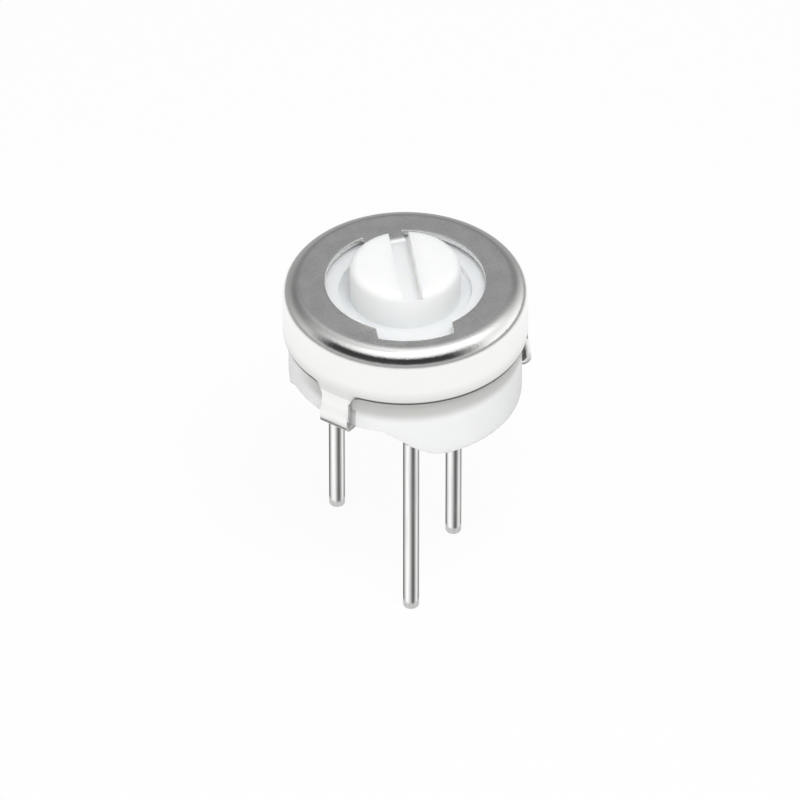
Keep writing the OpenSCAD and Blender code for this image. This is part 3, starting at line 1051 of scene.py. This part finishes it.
        # The floor and the ramp meet in a fold between the two walls
        fold = bm.edges.new((corners[0][0], corners[1][0]))
        floor_ends = [e for e in ends if all(v.co.z < self.slot_floor + NEAR for v in e.verts)]
        ramp_ends = [e for e in ends if e not in floor_ends]
        bmesh.ops.contextual_create(bm, geom=floor_ends + [corners[0][1], corners[1][1], fold])
        bmesh.ops.contextual_create(bm, geom=ramp_ends + [corners[0][2], corners[1][2], fold])
        bmesh.ops.recalc_face_normals(bm, faces=bm.faces)
        bmesh.ops.bevel(
            bm,
            geom=rims,
            affect="EDGES",
            offset=self.slot_edge,
            segments=3,
            profile=0.5,
            material=-1,
            clamp_overlap=True,
        )

    def make(self, material: bpy.types.Material) -> None:
        """Builds the rotor.

        Args:
            material: The rotor's finish.
        """
        bm = spun(self.profile(), self.columns)
        self.raise_lug(bm)
        self.cut_slot(bm)
        piece = Piece("slotted_rotor", Body.ADJUSTER, "rotor_white", material, "rotor")
        piece.build(bm, sharp_angle=35.0)


@dataclass
class LeadSet:
    """The three round leads with their flattened heads."""

    radius: float = 0.23 * MM
    top_r: float = 0.21 * MM
    tip: float = -5.90 * MM
    tip_edge: float = 0.06 * MM
    head_z: float = 2.78 * MM
    head_r: float = 0.29 * MM
    head_top: float = 2.86 * MM
    head_edge: float = 0.02 * MM
    row_x: float = -1.00 * MM
    pitch: float = 2.54 * MM
    columns: int = 48
    tip_rows: int = 5
    shank_rows: int = 12

    def places(self) -> list[Place]:
        """Plan places of leads 1, 2 and 3."""
        return [(self.row_x, self.pitch), (self.row_x + self.pitch, 0.0), (self.row_x, -self.pitch)]

    def profile(self) -> Profile:
        """Section of one lead.

        Returns:
            The points from the middle of the tip to the middle of the head.
        """
        tip_end = self.tip + self.tip_edge
        tip = arc((self.radius - self.tip_edge, tip_end), self.tip_edge, -90, 0, self.tip_rows)
        shank = stretch((self.radius, tip_end), (self.radius, 0.0), self.shank_rows)
        head = [
            (self.top_r, self.head_z),
            (self.head_r - self.head_edge, self.head_z),
            (self.head_r, self.head_z + self.head_edge),
            (self.head_r, self.head_top - self.head_edge),
            (self.head_r - self.head_edge, self.head_top),
            (0.0, self.head_top),
        ]
        return [(0.0, self.tip)] + tip + shank[1:] + head

    def make(self, material: bpy.types.Material) -> None:
        """Builds the three leads.

        Args:
            material: The leads' finish.
        """
        for number, place in enumerate(self.places(), start=1):
            bm = spun(self.profile(), self.columns, place)
            Piece(f"round_lead_{number}", Body.HOUSING, "tinned_wire", material, f"lead_{number}").build(bm)


@dataclass
class Inside:
    """What the closed can hides: the printed disc, the joints, the seal ring and the wiper."""

    seal_r: float = SlottedRotor.seal_r
    seal_z: float = SlottedRotor.seal_z
    seal_half: float = 0.15 * MM
    seal_rows: int = 24
    seal_columns: int = 160
    joint_r: float = 0.34 * MM
    joint_top_r: float = 0.20 * MM
    joint_low: float = LeadSet.head_z
    joint_top: float = 2.92 * MM
    joint_hollow: float = 0.7
    joint_rows: int = 8
    joint_columns: int = 64

    def dress(self, finishes: dict[str, PlainFinish]) -> None:
        """Gives each node that stays as it is its own finish.

        Args:
            finishes: Finish by the name of the CAD node.
        """
        made = {}
        for node, finish in finishes.items():
            if finish.name not in made:
                made[finish.name] = finish.build()
            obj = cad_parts[node]
            obj.data.materials.clear()
            obj.data.materials.append(made[finish.name])
            log.info("node %s: %s", node, finish.name)

    def make_seal(self, material: bpy.types.Material) -> None:
        """Builds the seal ring.

        Args:
            material: The ring's finish.
        """
        ring = arc((self.seal_r, self.seal_z), self.seal_half, 0, 360, self.seal_rows)
        piece = Piece("rubber_ring", Body.HOUSING, "seal_rubber", material, "seal_ring")
        piece.build(spun(ring, self.seal_columns), sharp_angle=180.0)

    def make_joints(self, places: list[Place], material: bpy.types.Material) -> None:
        """Builds a solder joint over each lead's head, drawn up in a hollow cone.

        Args:
            places: Plan places of the leads.
            material: The solder.
        """
        section = [(0.0, self.joint_low)]
        for i in range(self.joint_rows + 1):
            share = i / self.joint_rows
            rise = (1 - math.cos(math.pi / 2 * share)) ** self.joint_hollow
            r = self.joint_r - (self.joint_r - self.joint_top_r) * share
            section.append((r, self.joint_low + (self.joint_top - self.joint_low) * rise))
        section.append((0.0, self.joint_top))
        for number, place in enumerate(places, start=1):
            piece = Piece(f"solder_cone_{number}", Body.HOUSING, "solder", material, f"solder_joint_{number}")
            piece.build(spun(section, self.joint_columns, place))


# Studio


def direction(azimuth: float, elevation: float) -> Vector:
    """Finds a direction from the part.

    Args:
        azimuth: Angle about the part in degrees, 0 towards -Y and 90 towards +X.
        elevation: Angle over the horizon in degrees.

    Returns:
        A unit vector.
    """
    a = math.radians(azimuth)
    e = math.radians(elevation)
    return Vector((math.sin(a) * math.cos(e), -math.cos(a) * math.cos(e), math.sin(e)))


@dataclass(frozen=True)
class FloorFinish:
    """Matte pale floor that the camera sees almost white, with a pattern of its own in reflections."""

    colour: tuple[float, ...] = (0.88, 0.88, 0.88, 1.0)
    camera_glow: float = 0.93
    # Glow in reflections by the distance from the axis
    under: Ramp = Ramp(4.6 * MM, 5.4 * MM, 0.50, 0.0)
    near: Ramp = Ramp(8.0 * MM, 11.0 * MM, 0.14, 0.93)
    middle: Ramp = Ramp(11.2 * MM, 14.2 * MM, 0.0, 0.08)
    far: Ramp = Ramp(17.0 * MM, 50.0 * MM, 0.0, 0.62)

    def build(self) -> bpy.types.Material:
        """Makes the material.

        Returns:
            The material.
        """
        kit = NodeKit.for_material("pale floor")
        ray = kit.add("ShaderNodeLightPath").outputs
        away = kit.distance(kit.place())
        rings = kit.plus(kit.step(away, self.near), kit.step(away, self.middle))
        rings = kit.plus(rings, kit.step(away, self.under))
        mirrored = kit.glow(Glow.SURFACE, kit.calc("SUBTRACT", rings, kit.step(away, self.far)))
        matte = kit.add("ShaderNodeBsdfDiffuse", Color=self.colour).outputs[0]
        seen = kit.times(ray["Is Camera Ray"], self.camera_glow)
        plain = kit.mix(seen, matte, kit.glow(Glow.SURFACE, 1.0))
        return kit.finish(kit.mix(ray["Is Glossy Ray"], plain, mirrored))


@dataclass(frozen=True)
class Surroundings:
    """White to the camera, even in the light, and in reflections a studio with one dark side."""

    ambient: float = 0.56
    # Walls in reflections, by height and by direction from the camera's side in degrees
    overhead: Ramp = Ramp(32.0, 84.0, 0.228, 1.05)
    overhead_left: Ramp = Ramp(-105.0, -45.0, 0.62, 1.0)
    overhead_back: Ramp = Ramp(-165.0, -120.0, 1.0, 0.62)
    horizon: Ramp = Ramp(34.0, 8.0, 0.0, 0.15)
    side_left: Ramp = Ramp(-150.0, -80.0, 0.0, 0.33)
    side_right: Ramp = Ramp(60.0, 85.0, 1.0, 2.0)
    side_back: Ramp = Ramp(160.0, 105.0)
    # Dark side at the camera
    dark_foot: Ramp = Ramp(-8.0, 17.0)
    dark_top: Ramp = Ramp(56.0, 39.0)
    dark_left: Ramp = Ramp(-98.0, -66.0)
    dark_right: Ramp = Ramp(80.0, 38.0)
    darkness: float = 0.93

    def build(self, azimuth: float) -> bpy.types.World:
        """Makes the world.

        Args:
            azimuth: The camera's direction about the part in degrees.

        Returns:
            The world.
        """
        kit = NodeKit(bpy.data.worlds.new("studio"), "ShaderNodeOutputWorld")
        view = kit.add("ShaderNodeTexCoord").outputs["Generated"]
        settings = {"rotation_type": "Z_AXIS"}
        turned = kit.add("ShaderNodeVectorRotate", settings, Vector=view, Angle=-math.radians(azimuth)).outputs[0]
        x, y, z = kit.split(turned)
        height = kit.calc("DEGREES", kit.calc("ARCSINE", z))
        around = kit.bearing(x, y)
        left = kit.larger(kit.step(around, self.overhead_left), kit.step(around, self.overhead_back))
        overhead = kit.times(kit.step(height, self.overhead), left)
        side = kit.times(kit.step(around, self.side_left), kit.step(around, self.side_right))
        side = kit.times(side, kit.step(around, self.side_back))
        walls = kit.plus(kit.plus(overhead, kit.step(height, self.horizon)), side)
        tall = kit.times(kit.step(height, self.dark_foot), kit.step(height, self.dark_top))
        wide = kit.times(kit.step(around, self.dark_left), kit.step(around, self.dark_right))
        dark = kit.times(kit.times(tall, wide), self.darkness)
        mirrored = kit.glow(Glow.SKY, kit.times(walls, kit.calc("SUBTRACT", 1.0, dark)))
        ray = kit.add("ShaderNodeLightPath").outputs
        plain = kit.mix(ray["Is Glossy Ray"], kit.glow(Glow.SKY, self.ambient), mirrored)
        return kit.finish(kit.mix(ray["Is Camera Ray"], plain, kit.glow(Glow.SKY, 1.0)))


@dataclass(frozen=True)
class TentFinish:
    """Paper round a lead that glows in two soft stripes, by direction from the camera's side in degrees."""

    left_stripe: Ramp = Ramp(-36.0, 20.0, 1.1, 0.15)
    right_stripe: Ramp = Ramp(24.0, 70.0, 0.0, 0.82)
    left_end: Ramp = Ramp(-112.0, -44.0, 0.1, 1.0)
    right_end: Ramp = Ramp(66.0, 104.0, 1.0, 0.3)

    def build(self, name: str, place: Place, azimuth: float) -> bpy.types.Material:
        """Makes the material.

        Args:
            name: Name of the tent.
            place: Plan place of the lead.
            azimuth: The camera's direction about the part in degrees.

        Returns:
            The material.
        """
        kit = NodeKit.for_material(name)
        shift = (-place[0], -place[1], 0.0)
        from_lead = kit.add("ShaderNodeMapping", Vector=kit.place(), Location=shift).outputs[0]
        x, y, _ = kit.split(from_lead)
        turned = kit.calc("SUBTRACT", kit.bearing(x, y), azimuth)
        around = kit.calc("SUBTRACT", kit.calc("MODULO", kit.calc("ADD", turned, 540.0), 360.0), 180.0)
        stripes = kit.plus(kit.step(around, self.left_stripe), kit.step(around, self.right_stripe))
        ends = kit.times(kit.step(around, self.left_end), kit.step(around, self.right_end))
        return kit.finish(kit.glow(Glow.SURFACE, kit.times(stripes, ends)))


@dataclass(frozen=True)
class Lamp:
    """A soft square lamp aimed at the can, which reflections don't show."""

    name: str
    turn: float
    elevation: float
    size: float
    level: float
    distance: float = 0.12

    def add(self, azimuth: float) -> None:
        """Adds the lamp to the scene.

        Args:
            azimuth: The camera's direction about the part in degrees, from which the lamp is turned.
        """
        away = direction(azimuth + self.turn, self.elevation)
        data = bpy.data.lights.new(self.name, "AREA")
        data.shape = "SQUARE"
        data.size = self.size
        data.energy = self.level * math.pi * self.size * self.size
        lamp = bpy.data.objects.new(self.name, data)
        lamp.visible_glossy = False
        facing = away.to_track_quat("Z", "Y").to_matrix().to_4x4()
        lamp.matrix_world = Matrix.Translation(away * self.distance) @ facing
        bpy.context.scene.collection.objects.link(lamp)


@dataclass
class Studio:
    """The pale floor, the soft surroundings, the lamps, the camera and the tents round the leads."""

    azimuth: float = -25.0
    elevation: float = 39.0
    pixels_per_mm: float = 35.2
    axis_pixel_x: float = 405.3
    top_pixel_y: float = 280.5
    top: float = MetalCan.top
    lens: float = 500.0
    sensor: float = 36.0
    clip: tuple[float, float] = (0.01, 10.0)
    floor_z: float = LeadSet.tip
    floor_size: float = 0.8
    tent_r: float = 0.45 * MM
    tent_low: float = 0.01 * MM
    tent_high: float = -0.02 * MM
    tent_columns: int = 64
    lamps: tuple[Lamp, ...] = (
        Lamp("key lamp", turn=22.0, elevation=66.0, size=0.05, level=9.2),
        Lamp("fill lamp", turn=-35.0, elevation=22.0, size=0.08, level=0.9),
    )

    def add_camera(self) -> None:
        """Places the camera so that the part's axis and top fall on their pixels."""
        towards = direction(self.azimuth, self.elevation)
        right = Vector((0, 0, 1)).cross(towards).normalized()
        up = towards.cross(right)
        middle = IMAGE_PIXELS / 2
        scale = MM / self.pixels_per_mm
        aim = Vector((0, 0, self.top))
        aim += right * (middle - self.axis_pixel_x) * scale
        aim -= up * (middle - self.top_pixel_y) * scale
        data = bpy.data.cameras.new("long lens")
        data.lens = self.lens
        data.sensor_width = self.sensor
        data.clip_start, data.clip_end = self.clip
        camera = bpy.data.objects.new("camera", data)
        distance = IMAGE_PIXELS * scale * self.lens / self.sensor
        facing = Matrix((right, up, towards)).transposed().to_4x4()
        camera.matrix_world = Matrix.Translation(aim + towards * distance) @ facing
        bpy.context.scene.collection.objects.link(camera)
        bpy.context.scene.camera = camera

    def add_floor(self) -> None:
        """Lays the pale floor under the tips of the leads."""
        bm = bmesh.new()
        bmesh.ops.create_grid(bm, x_segments=1, y_segments=1, size=self.floor_size)
        bmesh.ops.translate(bm, verts=bm.verts, vec=(0, 0, self.floor_z))
        floor = add_object("floor", bm)
        floor.data.materials.append(FloorFinish().build())

    def add_tent(self, name: str, place: Place) -> None:
        """Stands a thin paper tent round one lead, which shows only in the wire's reflection.

        Args:
            name: Name of the tent.
            place: Plan place of the lead.
        """
        wall = [(self.tent_r, self.floor_z + self.tent_low), (self.tent_r, self.tent_high)]
        tent = add_object(name, spun(wall, self.tent_columns, place))
        tent.data.materials.append(TentFinish().build(name, place, self.azimuth))
        for kind in ("camera", "diffuse", "transmission", "volume_scatter", "shadow"):
            setattr(tent, f"visible_{kind}", False)

    def build(self) -> None:
        """Sets up all but the tents."""
        bpy.context.scene.view_settings.view_transform = "Standard"
        self.add_camera()
        self.add_floor()
        bpy.context.scene.world = Surroundings().build(self.azimuth)
        for lamp in self.lamps:
            lamp.add(self.azimuth)


def plain_finishes() -> dict[str, PlainFinish]:
    """Lists the finish of each node that keeps its CAD shape.

    Returns:
        Finish by the name of the node.
    """
    print_ink = PlainFinish("fired conductor", (0.72, 0.70, 0.62), (0.60, 0.58, 0.50), 0.35, 1.0)
    brush = PlainFinish(
        "brush wire", (0.80, 0.76, 0.66), (0.68, 0.64, 0.54), 0.22, 1.0, Grain(9000.0, 4.0), 0.001 * MM
    )
    return {
        "disc_adhesive": PlainFinish("cured adhesive", (0.62, 0.45, 0.18), (0.50, 0.34, 0.12), 0.4),
        "ceramic_disc": PlainFinish("fired ceramic", (0.86, 0.84, 0.79), (0.80, 0.78, 0.72), 0.55),
        "resistive_track": PlainFinish("resistive ink", (0.045, 0.045, 0.05), (0.02, 0.02, 0.024), 0.42),
        "collector_conductor": print_ink,
        "end_conductor_1": print_ink,
        "end_conductor_3": print_ink,
        "wiper_carrier": PlainFinish("spring strip", (0.78, 0.60, 0.32), (0.66, 0.48, 0.24), 0.28, 1.0),
        "track_brush": brush,
        "collector_brush": brush,
    }


def main() -> None:
    """Builds the pieces in order, from the studio to the inside of the can."""
    logging.basicConfig(level=logging.INFO, format="%(message)s")
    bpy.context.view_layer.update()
    studio = Studio()
    studio.build()
    MetalCan().make(CanFinish().build())
    # The base's material carries the painted shadow under the can's skirt
    base_white = MouldedWhite(
        "base white", colour=(0.93, 0.935, 0.935), shade=(0.91, 0.915, 0.915), roughness=0.32, has_painted_shadow=True
    )
    WhiteBase().make(base_white.build())
    rotor_white = MouldedWhite(
        "rotor white", colour=(0.94, 0.955, 0.955), shade=(0.925, 0.94, 0.94), roughness=0.38, subsurface=0.65
    )
    SlottedRotor().make(rotor_white.build())
    leads = LeadSet()
    leads.make(WireFinish().build())
    for number, place in enumerate(leads.places(), start=1):
        studio.add_tent(f"tent_{number}", place)
    inside = Inside()
    inside.dress(plain_finishes())
    inside.make_seal(PlainFinish("seal rubber", (0.35, 0.10, 0.07), (0.28, 0.07, 0.05), 0.5).build())
    solder = PlainFinish("solder", (0.70, 0.71, 0.72), (0.58, 0.59, 0.60), 0.25, 1.0, Grain(2500.0, 4.0))
    inside.make_joints(leads.places(), solder.build())


if __name__ == "__main__":
    main()
